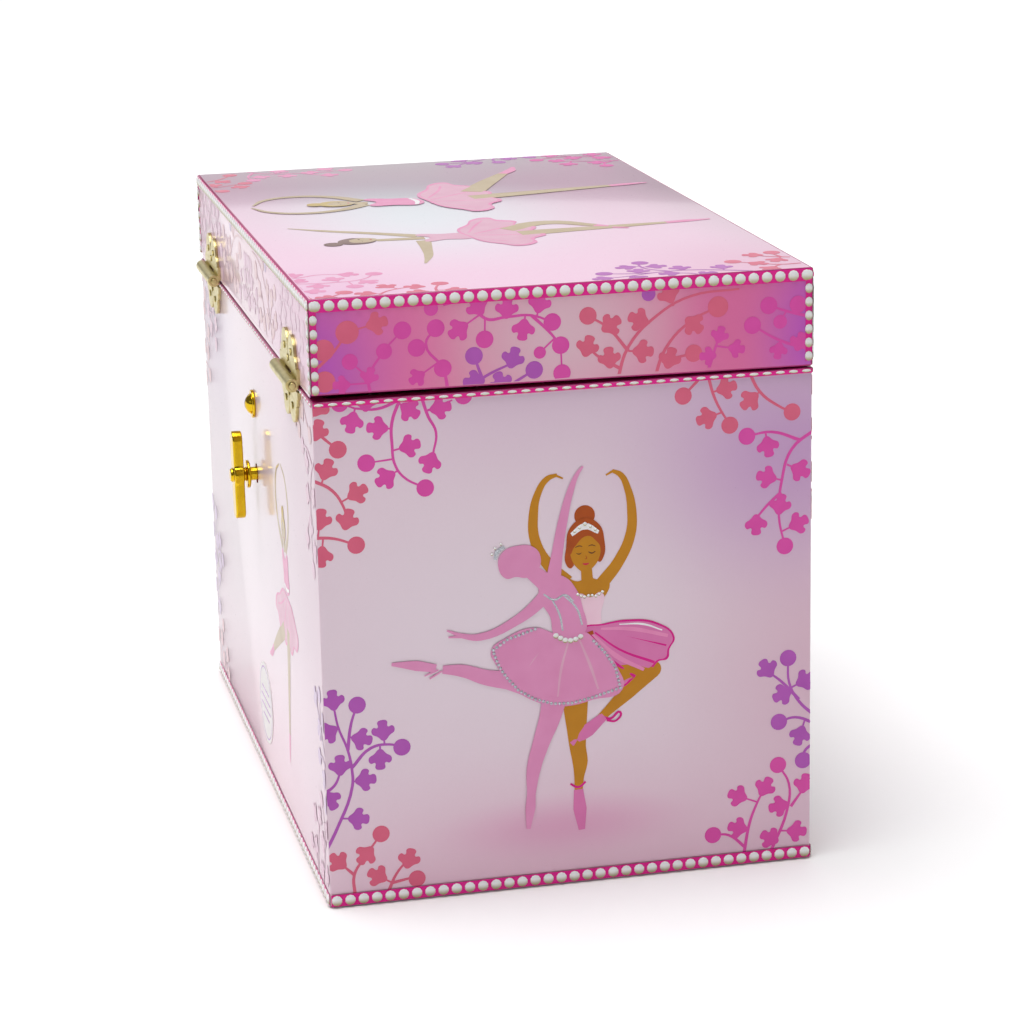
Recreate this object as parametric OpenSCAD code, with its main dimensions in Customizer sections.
// Ballerina jewellery box: a paper-covered board box with a hinged lid, a lined upper well,
// two drawers, and a wind-up musical movement that turns a folding dancer on a small stage.
// Frame: millimetres, +Z up, the origin on the floor under the middle of the box.
// The front faces -Y, the hinges and the winding key are on the +Y side, and X is the width.

/* [Box] */
// Outside width of the box
box_w = 190; // [184:2:220]
// Outside depth of the box
box_d = 120; // [118:2:140]
// Height of the body up to its rim
body_h = 124; // [122:1:132]
// Height of the lid, from the body's rim to the top
lid_h = 24; // [23:1:32]
// Gap under the lid at the front edge
seam_front = 0.3; // [0.2:0.1:1]
// Gap under the lid at the hinged edge
seam_back = 1.5; // [1:0.1:2]
// Thickness of the walls
board_t = 3.5; // [2.5:0.5:4]
// Thickness of the printed paper
paper_t = 0.3; // [0.2:0.1:0.5]
// Thickness of the lining card
lining_t = 0.8; // [0.5:0.1:1.2]

/* [Drawers] */
// Height of each drawer's opening
drawer_open_h = 27; // [22:1:27]
// Gap around each drawer front
drawer_gap = 0.5; // [0.4:0.1:0.8]
// Thickness of the drawer walls and floor
drawer_t = 2; // [1.5:0.5:3]
// Diameter of each knob
knob_d = 10; // [8:1:14]

/* [Back hardware] */
// Height of the winding key's axis
key_z = 84; // [83:0.5:85]
// Height of the fixing screw
screw_z = 102.6; // [102:0.2:103]
// Overall length of the key's bar
key_len = 23; // [18:1:26]
// Lean of the key's bar at rest, in degrees
key_lean = 4; // [-45:1:45]
// Distance of each hinge from the middle
hinge_x = 67; // [50:1:72]
// Width of each hinge
hinge_w = 25; // [20:1:30]
// Diameter of the round label
label_d = 22; // [16:1:30]

/* [Stage and dancer] */
// Width of the stage over the movement
stage_w = 62; // [60:1:70]
// Top of the stage
stage_z = 110; // [110:0.5:111]
// Height of the dancer above her spring
dancer_h = 47; // [40:1:48]
// Radius of the tutu
tutu_r = 12; // [9:0.5:12]
// How far the dancer lies down under the closed lid, in degrees
fold = 85; // [80:1:88]
// Number of ring rolls
roll_count = 5; // [4:1:6]

/* [Hidden] */
$fn = 48;

// Box
half_w = box_w / 2;
half_d = box_d / 2;
skin_x = half_w - paper_t;         // outer face of the side boards
skin_y = half_d - paper_t;
in_x = skin_x - board_t;           // inner face of the side boards
in_y = skin_y - board_t;
lined_x = in_x - lining_t;         // inner face of the lining
lined_y = in_y - lining_t;
sheet_t = 0.5;                     // covering sheet under the base
sheet_inset = 0.8;
wrap_z = 0.3;                      // lower edge of the printed paper
rim_z = body_h - paper_t;          // top of the body's boards
top_z = body_h + lid_h;
lid_ceiling = top_z - paper_t - board_t;

// Drawers
shelf_t = 3;
base_top = 4;
lower_open = [base_top, base_top + drawer_open_h];
upper_open = [lower_open[1] + shelf_t, lower_open[1] + shelf_t + drawer_open_h];
tray_top = upper_open[1] + shelf_t;
drawer_lift = 0.4;                 // running gap under a drawer
drawer_wall_h = 19;
drawer_back = in_y - 6;
knob_len = 9;

// Upper well
panel_t = 2;
stage_x = stage_w / 2;
stage_front = -16;
stage_skirt_z = stage_z - 2.5;
ring_shelf_z = 98;
divider_z = 104;
lining_top = body_h - 2;
rod_at = [26, 50];                 // stop rod, clear of the dancer's sweep
rod_r = 0.7;
bush_r = 4;

// Hinges
leaf_t = 0.8;
leaf_h = 10.5;
barrel_r = 1.6;
pin_r = 0.8;
run = 0.05;                        // radial running clearance
hinge_y = half_d + barrel_r + 0.3;
hinge_z = body_h + seam_back / 2;
knuckle_w = hinge_w / 3;
knuckle_gap = 0.3;

// Key and screw
arbor_r = 1.75;
collar_y = half_d + 1.9;
bar_y = half_d + 3.6;

// Movement
bed_t = 2;
bed_y = in_y - bed_t;              // front face of the bedplate
bed_x = 25;
case_r = 12;
case_len = 9.2;
crown_teeth = 30;
crown_r = 11.4;                    // middle of the crown teeth
tooth_len = 1.2;
crown_face = bed_y - 12.1;         // plane that the crown teeth stand on
crown_h = 1.6;
drive_teeth = 19;
drive_r = crown_r * drive_teeth / crown_teeth;
cyl_y = crown_face - 0.9 - drive_r;
cyl_r = 5.8;
pin_out = 6.3;
cyl_z = [77, 101];
comb_teeth = 18;
wheel_teeth = 18;
idler_teeth = 22;
gov_teeth = 10;
wheel_module = cyl_y / (wheel_teeth + idler_teeth);
wheel_z = [104.2, 105.7];
plate_z = [102, 103.6];
gov_x = wheel_module * (wheel_teeth + gov_teeth) / 2;
worm_wheel_r = 4.6;
worm_z = 90.75;
worm_r = 1.35;
worm_x = gov_x + worm_wheel_r + worm_r + 0.1;
spindle_r = 2;
pivot_z = stage_z + 14.5;          // where the dancer's spring bends

// A box between two opposite corners
module block(lo, hi) { translate(lo) cube(hi - lo); }

// A round bar along Y, from y0 to y1
module bar_y(x, z, y0, y1, r) { translate([x, y0, z]) rotate([-90, 0, 0]) cylinder(h = y1 - y0, r = r); }

// A round bar along X, from x0 to x1
module bar_x(y, z, x0, x1, r) { translate([x0, y, z]) rotate([0, 90, 0]) cylinder(h = x1 - x0, r = r); }

// Outline of a wheel with straight-sided teeth, with one tooth centred on the angle first
function gear_points(teeth, pitch_r, up, down, first) = [
    for (i = [0:teeth - 1]) let (mid = first + i * 360 / teeth, step = 360 / teeth)
        for (p = [[pitch_r - down, -0.26], [pitch_r + up, -0.12], [pitch_r + up, 0.12], [pitch_r - down, 0.26]])
            p[0] * [cos(mid + p[1] * step), sin(mid + p[1] * step)]
];
module gear(teeth, pitch_r, up, down, first, height) {
    linear_extrude(height) polygon(gear_points(teeth, pitch_r, up, down, first));
}

// ---- Case -------------------------------------------------------------------------------

module base_sheet() color("dimgray")
    block([sheet_inset - half_w, sheet_inset - half_d, 0], [half_w - sheet_inset, half_d - sheet_inset, sheet_t]);

module base_board() color("burlywood") block([-in_x, -skin_y, sheet_t], [in_x, in_y, base_top]);

module side_board() block([-skin_x, -skin_y, sheet_t], [-in_x, in_y, rim_z]);
module left_board() color("burlywood") side_board();
module right_board() color("burlywood") mirror([1, 0, 0]) side_board();

module back_board() color("burlywood") difference() {
    block([-skin_x, in_y, sheet_t], [skin_x, skin_y, rim_z]);
    bar_y(0, key_z, in_y - 1, skin_y + 1, arbor_r + 0.85);
    bar_y(0, screw_z, in_y - 1, skin_y + 1, 1.5);
}

module front_board() color("burlywood") block([-in_x, -skin_y, upper_open[1]], [in_x, -in_y, rim_z]);
module drawer_shelf() color("burlywood") block([-in_x, -skin_y, lower_open[1]], [in_x, in_y, upper_open[0]]);
module tray_floor() color("burlywood") block([-in_x, -in_y, upper_open[1]], [in_x, in_y, tray_top]);

// Printed paper over the outside and the rim, open at the two drawers
module body_wrap() color("thistle") difference() {
    block([-half_w, -half_d, wrap_z], [half_w, half_d, body_h]);
    block([-skin_x, -skin_y, -1], [skin_x, skin_y, rim_z]);
    block([-in_x, -in_y, rim_z - 1], [in_x, in_y, body_h + 1]);
    for (span = [lower_open, upper_open])
        block([-in_x, -half_d - 1, span[0]], [in_x, -skin_y + 1, span[1]]);
    bar_y(0, key_z, skin_y - 1, half_d + 1, arbor_r + 0.85);
    bar_y(0, screw_z, skin_y - 1, half_d + 1, 1.5);
}

module wall_lining() color("pink") difference() {
    block([-in_x, -in_y, tray_top], [in_x, in_y, lining_top]);
    block([-lined_x, -lined_y, tray_top - 1], [lined_x, lined_y, lining_top + 1]);
    block([-stage_x, lined_y - 1, tray_top - 1], [stage_x, in_y + 1, lining_top + 1]);
}

module floor_lining() color("pink") {
    block([-lined_x, -lined_y, tray_top], [lined_x, stage_front, tray_top + lining_t]);
    block([stage_x, stage_front + panel_t, tray_top], [lined_x, lined_y, tray_top + lining_t]);
}

// Bent card that stands round the movement on three sides
module stage_skirt() color("hotpink") difference() {
    block([-stage_x, stage_front, tray_top], [stage_x, in_y, stage_skirt_z]);
    block([panel_t - stage_x, stage_front + panel_t, tray_top - 1], [stage_x - panel_t, in_y + 1, stage_z]);
}

module stage_top() color("hotpink") difference() {
    block([-stage_x, stage_front, stage_skirt_z], [stage_x, in_y, stage_z]);
    translate([0, 0, stage_skirt_z - 1]) cylinder(h = 5, r = bush_r);
    translate([rod_at[0], rod_at[1], stage_skirt_z - 1]) cylinder(h = 5, r = rod_r + 0.5);
}

module spindle_bush() color("gold") difference() {
    union() {
        translate([0, 0, stage_skirt_z]) cylinder(h = stage_z - stage_skirt_z, r = bush_r);
        translate([0, 0, stage_z]) cylinder(h = 1, r = 6);
    }
    translate([0, 0, stage_skirt_z - 1]) cylinder(h = 5, r = spindle_r + run);
}

// Card shelf that lifts the ring rolls, with a front leg down to the floor
module ring_shelf() color("pink") {
    block([-lined_x, stage_front + panel_t, ring_shelf_z - panel_t], [-stage_x, lined_y, ring_shelf_z]);
    block([-lined_x, stage_front, tray_top], [-stage_x, stage_front + panel_t, ring_shelf_z]);
}

// Padded rolls that rings are pushed between
module ring_rolls() color("lightpink") {
    room = lined_y - stage_front - panel_t;
    pitch = room / roll_count;
    for (i = [0:roll_count - 1])
        bar_x(stage_front + panel_t + pitch * (i + 0.5), ring_shelf_z + pitch / 2 - 0.3,
            0.5 - lined_x, -stage_x - 0.5, pitch / 2 - 0.3);
}

module well_divider() color("pink")
    block([stage_x, stage_front, tray_top], [lined_x, stage_front + panel_t, divider_z]);

module back_label() color("white") bar_y(0, label_d / 2 + 10, half_d, half_d + 0.15, label_d / 2);

// ---- Hinges -----------------------------------------------------------------------------

// Winged leaf in X and Z below the hinge axis: a strip at the barrel and two round lobes
module leaf_outline() difference() {
    union() {
        translate([-hinge_w / 2, -3.6]) square([hinge_w, 2.6]);
        for (side = [-1, 1]) translate([side * 4.6, -leaf_h + 4.4]) circle(r = 4.4);
        for (side = [-1, 1]) translate([side * hinge_w * 0.34, -3.6]) circle(r = 2.6);
    }
    translate([0, -leaf_h - 0.5]) circle(r = 2.4);
    translate([-hinge_w, -1.8]) square([2 * hinge_w, 6]);
}

// Places of a leaf's three nails, in X and Z below the hinge axis
nail_at = [[-4.6, -6.4], [4.6, -6.4], [0, -4.2]];

module leaf_plate() difference() {
    translate([0, half_d + leaf_t, 0]) rotate([90, 0, 0]) linear_extrude(leaf_t) leaf_outline();
    for (p = nail_at) bar_y(p[0], p[1], half_d - 1, half_d + 2, 0.5);
}

// One knuckle, its web to the leaf, and its bore
module knuckle(x0, x1, bore) difference() {
    union() {
        bar_x(hinge_y, 0, x0, x1, barrel_r);
        block([x0, half_d, -2], [x1, half_d + leaf_t, 0]);
    }
    bar_x(hinge_y, 0, x0 - 1, x1 + 1, bore);
}

module lower_leaf() {
    leaf_plate();
    knuckle(-knuckle_w / 2, knuckle_w / 2, pin_r);
}

module upper_leaf() mirror([0, 0, 1]) {
    leaf_plate();
    for (side = [-1, 1])
        knuckle(side * hinge_w / 3 + (-knuckle_w + knuckle_gap * (1 - side)) / 2,
            side * hinge_w / 3 + (knuckle_w - knuckle_gap * (1 + side)) / 2, pin_r + run);
}

module each_hinge() for (side = [-1, 1]) translate([side * hinge_x, 0, hinge_z]) children();

module hinge_leaves_lower() color("khaki") each_hinge() lower_leaf();
module hinge_leaves_upper() color("khaki") each_hinge() upper_leaf();
module hinge_pins() color("goldenrod") each_hinge() bar_x(hinge_y, 0, -hinge_w / 2 - 0.4, hinge_w / 2 + 0.4, pin_r);

// Small domed nails through a leaf into the board
module nails() for (p = nail_at) {
    bar_y(p[0], p[1], half_d - 3, half_d + leaf_t, 0.5);
    bar_y(p[0], p[1], half_d + leaf_t, half_d + leaf_t + 0.35, 0.9);
}
module hinge_nails_lower() color("khaki") each_hinge() nails();
module hinge_nails_upper() color("khaki") each_hinge() mirror([0, 0, 1]) nails();

// ---- Key and fixing screw ---------------------------------------------------------------

module winding_key() color("gold") {
    bar_y(0, key_z, crown_face + 0.4, bar_y + 3.4, arbor_r);
    difference() {
        bar_y(0, key_z, collar_y, collar_y + 0.9, 3.65);
        bar_y(0, key_z, collar_y - 1, collar_y + 2, arbor_r);
    }
    translate([0, bar_y + 2.6, key_z]) rotate([0, key_lean, 0]) rotate([90, 0, 0]) linear_extrude(2.6)
        difference() {
            union() {
                square([5, key_len - 5], center = true);
                for (end = [-1, 1]) translate([0, end * (key_len - 5) / 2]) circle(d = 5);
                circle(r = 3.4);
            }
            circle(r = arbor_r);
        }
}

module fixing_screw() color("gold") {
    bar_y(0, screw_z, bed_y, half_d + 0.9, 1.3);
    translate([0, half_d + 0.8, screw_z]) rotate([-90, 0, 0]) difference() {
        intersection() {
            translate([0, 0, -1.6]) sphere(r = 3.2);
            cylinder(h = 3, r = 2.75);
        }
        translate([-0.35, -4, 1]) cube([0.7, 8, 2]);
    }
}

module screw_washer() color("gold") difference() {
    bar_y(0, screw_z, half_d, half_d + 0.8, 3.65);
    bar_y(0, screw_z, half_d - 1, half_d + 2, 1.4);
}

// ---- Movement ---------------------------------------------------------------------------

// Cast plate on the back board, with the comb's pedestal, the governor's frame and two bearings
module bedplate() color("silver") difference() {
    union() {
        block([-bed_x, bed_y, 66], [bed_x, in_y, 106]);
        block([-4, cyl_y - 5, 66], [4, bed_y, 68.5]);
        block([-24, cyl_y + 0.6, 76], [-15.5, bed_y, 102]);
        block([21.4, cyl_y - 10, 84], [23.4, bed_y, 96]);
        block([16.5, cyl_y - 9, 88], [21.4, cyl_y - 7.6, 93.5]);
        block([16.5, cyl_y + 8.4, 88], [21.4, cyl_y + 9.8, 93.5]);
        block([gov_x - 2.4, cyl_y - 2.4, 84], [21.4, cyl_y + 2.4, 86]);
    }
    bar_y(0, key_z, bed_y - 1, in_y + 1, arbor_r + 0.45);
    bar_y(0, screw_z, bed_y - 1, in_y + 1, 1.3);
    translate([0, cyl_y, 65]) cylinder(h = 5, r = 1.2 + run);
    translate([gov_x, cyl_y, 83]) cylinder(h = 5, r = 0.8 + run);
    bar_y(worm_x, worm_z, cyl_y - 12, cyl_y + 12, 0.5 + run);
    for (z = [82, 96]) bar_y(-20, z, cyl_y - 1, cyl_y + 9, 1);
    for (side = [-1, 1]) bar_y(side * 9, plate_z[0] - 2.2, bed_y - 1, bed_y + 1.5, 0.8);
}

module spring_case() color("goldenrod") difference() {
    bar_y(0, key_z, bed_y - case_len, bed_y, case_r);
    bar_y(0, key_z, bed_y - case_len + 0.8, bed_y + 1, case_r - 0.8);
    bar_y(0, key_z, bed_y - case_len - 1, bed_y, arbor_r + 0.45);
}

// Spiral strip in five turns
module mainspring() color("slategray") {
    turns = 5;
    grow = 7.2 / (360 * turns);
    thick = 0.35;
    outer = [for (a = [0:15:360 * turns]) (3 + thick + grow * a) * [cos(a), sin(a)]];
    inner = [for (a = [360 * turns:-15:0]) (3 + grow * a) * [cos(a), sin(a)]];
    translate([0, bed_y - 0.6, key_z]) rotate([90, 0, 0]) linear_extrude(case_len - 2) polygon(concat(outer, inner));
}

// Steel comb: a thick heel and one tooth for each note, reaching towards the cylinder
module comb() color("lightsteelblue") difference() {
    union() {
        block([-24, cyl_y - 0.8, cyl_z[0]], [-15.5, cyl_y + 0.6, cyl_z[1]]);
        for (i = [0:comb_teeth - 1]) let (pitch = (cyl_z[1] - cyl_z[0]) / comb_teeth)
            block([-15.6, cyl_y - 0.4, cyl_z[0] + pitch * (i + 0.15)],
                [-pin_out - 0.2, cyl_y + 0.3, cyl_z[0] + pitch * (i + 0.85)]);
    }
    for (z = [82, 96]) bar_y(-20, z, cyl_y - 2, cyl_y + 2, 1.1);
}

module cheese_screw(x, z, y_head, y_end, shank_r) {
    bar_y(x, z, y_head, y_end, shank_r);
    difference() {
        bar_y(x, z, y_head - 1.2, y_head, 2 * shank_r);
        block([x - 3, y_head - 2, z - 0.2], [x + 3, y_head - 0.7, z + 0.2]);
    }
}
module movement_screws() color("gray") {
    for (z = [82, 96]) cheese_screw(-20, z, cyl_y - 0.8, cyl_y + 8, 1);
    for (side = [-1, 1]) cheese_screw(side * 9, plate_z[0] - 2.2, bed_y - 1.5, bed_y + 1.4, 0.8);
}

// Plate that carries the wheels under the stage
module gear_plate() color("silver") difference() {
    union() {
        block([-5.5, -5.5, plate_z[0]], [5.5, bed_y, plate_z[1]]);
        block([-5.5, cyl_y - 4, plate_z[0]], [gov_x + 3, cyl_y + 4, plate_z[1]]);
        block([-12, bed_y - 1.5, plate_z[0] - 4.4], [12, bed_y, plate_z[1]]);
        translate([0, 0, 97]) cylinder(h = plate_z[0] - 97, r = 3.2);
    }
    translate([0, cyl_y, plate_z[0] - 1]) cylinder(h = 4, r = 1.2 + run);
    translate([0, cyl_y / 2, plate_z[0] - 1]) cylinder(h = 4, r = 1 + run);
    translate([gov_x, cyl_y, plate_z[0] - 1]) cylinder(h = 4, r = 0.8 + run);
    translate([0, 0, 96]) cylinder(h = 10, r = 1.5 + run);
    for (side = [-1, 1]) bar_y(side * 9, plate_z[0] - 2.2, bed_y - 3, bed_y + 1, 0.8);
}

// Crown wheel on the winding arbor, whose teeth face the cylinder
module main_wheel() color("gold") difference() {
    union() {
        bar_y(0, key_z, crown_face, crown_face + 1.8, 12.6);
        for (i = [0:crown_teeth - 1])
            translate([0, crown_face - crown_h, key_z]) rotate([0, (i + 0.5) * 360 / crown_teeth, 0])
                translate([-0.42, 0, crown_r - tooth_len / 2]) cube([0.84, crown_h + 0.1, tooth_len]);
    }
    bar_y(0, key_z, crown_face - 3, crown_face + 3, arbor_r + run);
}

// Drum with small pins set out by the golden angle
module pin_cylinder() color("gold") translate([0, cyl_y, 0]) difference() {
    union() {
        translate([0, 0, cyl_z[0]]) cylinder(h = cyl_z[1] - cyl_z[0], r = cyl_r);
        for (i = [0:3 * comb_teeth - 1]) let (pitch = (cyl_z[1] - cyl_z[0]) / comb_teeth)
            translate([0, 0, cyl_z[0] + pitch * (i % comb_teeth + 0.5)]) rotate([0, 0, i * 137.5])
                translate([cyl_r - 0.3, -0.2, -0.2]) cube([pin_out - cyl_r + 0.28, 0.4, 0.4]);
    }
    translate([0, 0, cyl_z[0] - 1]) cylinder(h = cyl_z[1] - cyl_z[0] + 2, r = 1.2);
}

module cylinder_arbor() color("gold") translate([0, cyl_y, 0]) {
    translate([0, 0, 66.4]) cylinder(h = 40, r = 1.2);
    translate([0, 0, key_z - crown_r - 1.5]) gear(drive_teeth, drive_r, 0.55, 0.8, 90, 3);
    translate([0, 0, key_z - crown_r + 1.5]) cylinder(h = cyl_z[0] - key_z + crown_r - 1.5, r = 2.6);
    translate([0, 0, wheel_z[0]]) gear(wheel_teeth, wheel_module * wheel_teeth / 2, 0.6, 0.9, -90, 1.5);
}

module idler_wheel() color("gold") translate([0, cyl_y / 2, 0]) {
    translate([0, 0, 101]) cylinder(h = 5.6, r = 1);
    translate([0, 0, wheel_z[0]])
        gear(idler_teeth, wheel_module * idler_teeth / 2, 0.6, 0.9, 90 + 180 / idler_teeth, 1.5);
}

module governor_wheel() color("gold") translate([gov_x, cyl_y, 0]) {
    translate([0, 0, 84.2]) cylinder(h = 22.2, r = 0.8);
    translate([0, 0, wheel_z[0]])
        gear(gov_teeth, wheel_module * gov_teeth / 2, 0.6, 0.9, 180, 1.5);
    translate([0, 0, worm_z - 1.25]) gear(16, worm_wheel_r - 0.6, 0.6, 0.7, 0, 2.5);
}

// Fast shaft of the governor: a ridged worm and two air vanes
module worm_fly() color("lightgray") {
    bar_y(worm_x, worm_z, cyl_y - 9, cyl_y + 9.8, 0.5);
    bar_y(worm_x, worm_z, cyl_y - 7.2, cyl_y + 8, 0.9);
    for (i = [-4:4]) bar_y(worm_x, worm_z, cyl_y + i * 0.9 - 0.2, cyl_y + i * 0.9 + 0.2, worm_r);
    block([worm_x - 0.2, cyl_y - 7, worm_z - 2.6], [worm_x + 0.2, cyl_y - 4, worm_z + 2.6]);
    block([worm_x - 2.6, cyl_y - 7, worm_z - 0.2], [worm_x + 2.6, cyl_y - 4, worm_z + 0.2]);
}

// ---- Dancer -----------------------------------------------------------------------------

module spindle() color("gold") {
    translate([0, 0, 97.4]) cylinder(h = stage_skirt_z - 97.4 - 0.3, r = 1.5);
    translate([0, 0, wheel_z[0]]) gear(wheel_teeth, wheel_module * wheel_teeth / 2, 0.6, 0.9, 90, 1.5);
    translate([0, 0, stage_skirt_z - 0.3]) cylinder(h = stage_z + 2.3 - stage_skirt_z, r = spindle_r);
    translate([0, 0, stage_z + 1.3]) cylinder(h = 1, r = 3.4);
}

// Close-wound spring between the spindle and the dancer's foot, as a ribbed tube
module figure_spring() color("silver") {
    low = stage_z + 2.4;
    turns = 10;
    rise = (pivot_z - 1.6 - low) / turns;
    translate([0, 0, low]) rotate_extrude() polygon(concat(
        [for (i = [0:turns - 1], p = [[2.3, 0], [2.8, 0.5]]) [p[0], (i + p[1]) * rise]],
        [[2.3, turns * rise], [1.9, turns * rise], [1.9, 0]]));
}

// Everything on the dancer is built upright over the pivot, then laid down under the lid
module laid_down() translate([0, 0, pivot_z]) rotate([fold, 0, 0]) children();

module limb(from, to, r0, r1) {
    run_xyz = to - from;
    length = norm(run_xyz);
    translate(from) rotate([0, acos(run_xyz[2] / length), atan2(run_xyz[1], run_xyz[0])])
        cylinder(h = length, r1 = r0, r2 = r1);
}

waist = 0.46 * dancer_h;

// Turned outline of the dancer from her stand to the crown of her head: [radius, share of her height]
figure_outline = [[0, 0.075], [2.2, 0.075], [2.2, 0.1], [0.7, 0.12], [1.3, 0.3], [1.8, 0.42], [1.9, 0.5],
    [2.5, 0.6], [2.6, 0.68], [1, 0.73], [0.9, 0.77], [2, 0.79], [2.6, 0.84], [2, 0.89], [1, 0.91], [0, 0.91]];

module dancer() color("peachpuff") laid_down() {
    elbow = [5.2, -0.5, 0.8 * dancer_h];
    rotate_extrude() polygon([for (p = figure_outline) [p[0], p[1] * dancer_h]]);
    for (side = [-1, 1]) mirror([side < 0 ? 1 : 0, 0, 0]) {
        limb([1.6, 0, 0.66 * dancer_h], elbow, 0.9, 0.7);
        translate(elbow) sphere(r = 0.85);
        limb(elbow, [1.5, -0.5, dancer_h - 0.8], 0.7, 0.5);
    }
}

module tutu() color("lightpink") laid_down() translate([0, 0, waist]) difference() {
    cylinder(h = 1.6, r = tutu_r);
    translate([0, 0, -1]) cylinder(h = 4, r = 2.6);
}

// Steel rod that the closed lid holds down to stop the movement
module stop_rod() color("silver") translate([rod_at[0], rod_at[1], 90])
    cylinder(h = lid_ceiling - lining_t - 0.4 - 90, r = rod_r);

// ---- Lid --------------------------------------------------------------------------------

// Underside of the lid at a depth y: it rises a little from the front edge to the hinges
function lid_low(y) = body_h + seam_front + (seam_back - seam_front) * (y + half_d) / box_d;

// Slab across the lid from y0 to y1 with the sloping underside
module lid_slab(x0, x1, y0, y1, lift, top) translate([x0, 0, 0]) rotate([90, 0, 90]) linear_extrude(x1 - x0)
    polygon([[y0, lid_low(y0) + lift], [y1, lid_low(y1) + lift], [y1, top], [y0, top]]);

module lid_top_board() color("burlywood")
    block([-skin_x, -skin_y, lid_ceiling], [skin_x, skin_y, top_z - paper_t]);
module lid_front_board() color("burlywood") lid_slab(-skin_x, skin_x, -skin_y, -in_y, paper_t, lid_ceiling);
module lid_back_board() color("burlywood") lid_slab(-skin_x, skin_x, in_y, skin_y, paper_t, lid_ceiling);
module lid_left_board() color("burlywood") lid_slab(-skin_x, -in_x, -in_y, in_y, paper_t, lid_ceiling);
module lid_right_board() color("burlywood") lid_slab(in_x, skin_x, -in_y, in_y, paper_t, lid_ceiling);

module lid_wrap() color("orchid") difference() {
    lid_slab(-half_w, half_w, -half_d, half_d, 0, top_z);
    lid_slab(-skin_x, skin_x, -skin_y, skin_y, paper_t, top_z - paper_t);
    block([-in_x, -in_y, body_h - 1], [in_x, in_y, lid_ceiling]);
}

module lid_lining() color("pink") block([-in_x, -in_y, lid_ceiling - lining_t], [in_x, in_y, lid_ceiling]);

mirror_half = [54, 36];
module mirror_glass_box(grow, z0, z1)
    block([-mirror_half[0] - grow, -mirror_half[1] - grow, z0], [mirror_half[0] + grow, mirror_half[1] + grow, z1]);
module lid_mirror() color("lightcyan")
    mirror_glass_box(0, lid_ceiling - lining_t - 1.5, lid_ceiling - lining_t);
module mirror_frame() color("pink") difference() {
    mirror_glass_box(3, lid_ceiling - lining_t - 2, lid_ceiling - lining_t);
    mirror_glass_box(0, lid_ceiling - lining_t - 1.5, lid_ceiling);
    mirror_glass_box(-1.5, lid_ceiling - lining_t - 3, lid_ceiling);
}

// ---- Drawers ----------------------------------------------------------------------------

module drawer_front(span) difference() {
    block([drawer_gap - in_x, -half_d, span[0] + drawer_gap],
        [in_x - drawer_gap, -in_y - 0.3, span[1] - drawer_gap]);
    bar_y(0, (span[0] + span[1]) / 2, -half_d - 1, -in_y, 1.3);
}

module drawer_box(span) difference() {
    block([drawer_gap - in_x, -in_y - 0.3, span[0] + drawer_lift],
        [in_x - drawer_gap, drawer_back, span[0] + drawer_lift + drawer_wall_h]);
    block([drawer_gap + drawer_t - in_x, -in_y - 0.3 + drawer_t, span[0] + drawer_lift + drawer_t],
        [in_x - drawer_gap - drawer_t, drawer_back - drawer_t, span[1]]);
    bar_y(0, (span[0] + span[1]) / 2, -in_y - 2, -in_y + 4, 1.3);
}

// Turned knob with its screw shank, and the screw's head inside the drawer
module drawer_knob(span) translate([0, 0, (span[0] + span[1]) / 2]) {
    bar_y(0, 0, -half_d, -in_y - 0.3 + drawer_t, 1.3);
    bar_y(0, 0, -in_y - 0.3 + drawer_t, -in_y + drawer_t + 1, 2.6);
    translate([0, -half_d, 0]) rotate([90, 0, 0]) rotate_extrude() polygon([
        [0, 0], [knob_d * 0.3, 0], [knob_d * 0.22, knob_len * 0.35], [knob_d * 0.42, knob_len * 0.55],
        [knob_d * 0.5, knob_len * 0.72], [knob_d * 0.42, knob_len * 0.9], [knob_d * 0.2, knob_len], [0, knob_len]]);
}

module upper_drawer_front() color("thistle") drawer_front(upper_open);
module upper_drawer_box() color("pink") drawer_box(upper_open);
module upper_drawer_knob() color("gold") drawer_knob(upper_open);
module lower_drawer_front() color("thistle") drawer_front(lower_open);
module lower_drawer_box() color("pink") drawer_box(lower_open);
module lower_drawer_knob() color("gold") drawer_knob(lower_open);

base_sheet();
base_board();
left_board();
right_board();
back_board();
front_board();
drawer_shelf();
tray_floor();
body_wrap();
wall_lining();
floor_lining();
stage_skirt();
stage_top();
spindle_bush();
ring_shelf();
ring_rolls();
well_divider();
back_label();
hinge_leaves_lower();
hinge_pins();
hinge_nails_lower();
fixing_screw();
screw_washer();
bedplate();
spring_case();
mainspring();
comb();
movement_screws();
gear_plate();
lid_top_board();
lid_front_board();
lid_back_board();
lid_left_board();
lid_right_board();
lid_wrap();
lid_lining();
lid_mirror();
mirror_frame();
hinge_leaves_upper();
hinge_nails_upper();
upper_drawer_front();
upper_drawer_box();
upper_drawer_knob();
lower_drawer_front();
lower_drawer_box();
lower_drawer_knob();
winding_key();
main_wheel();
pin_cylinder();
cylinder_arbor();
idler_wheel();
governor_wheel();
worm_fly();
spindle();
figure_spring();
dancer();
tutu();
stop_rod();
